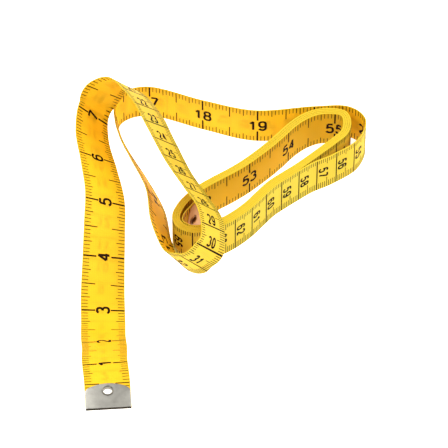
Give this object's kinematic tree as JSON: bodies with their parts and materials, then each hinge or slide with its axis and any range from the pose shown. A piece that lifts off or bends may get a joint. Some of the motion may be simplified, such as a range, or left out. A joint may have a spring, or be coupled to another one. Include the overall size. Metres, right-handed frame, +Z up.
{
  "type": "cloth tape measure",
  "caption": "Flexible coated-cloth measuring tape lying in loose loops: an oval coil on edge, a wide outer loop and a raised free end, with a folded metal tip and eyelet at each end.",
  "frame": {"origin": "middle of the footprint, on the table that the standing edges rest on", "axes": "+Z up from the table, +Y from the raised free end towards the outer loop at the back, +X towards the coil's far end"},
  "size_m": [0.1284, 0.1886, 0.0424],
  "materials": {
    "coated_cloth": "satin vinyl coating over woven cloth, with dark printed scales on both sides",
    "plated_sheet": "nickel-plated sheet, rubbed dull",
    "eyelet_metal": "plated, slightly darker than the tip"
  },
  "bodies": {
    "root": {"strip": "coated_cloth", "outer_tip": "plated_sheet", "outer_eyelet": "eyelet_metal", "inner_tip": "plated_sheet", "inner_eyelet": "eyelet_metal"}
  },
  "joints": []
}
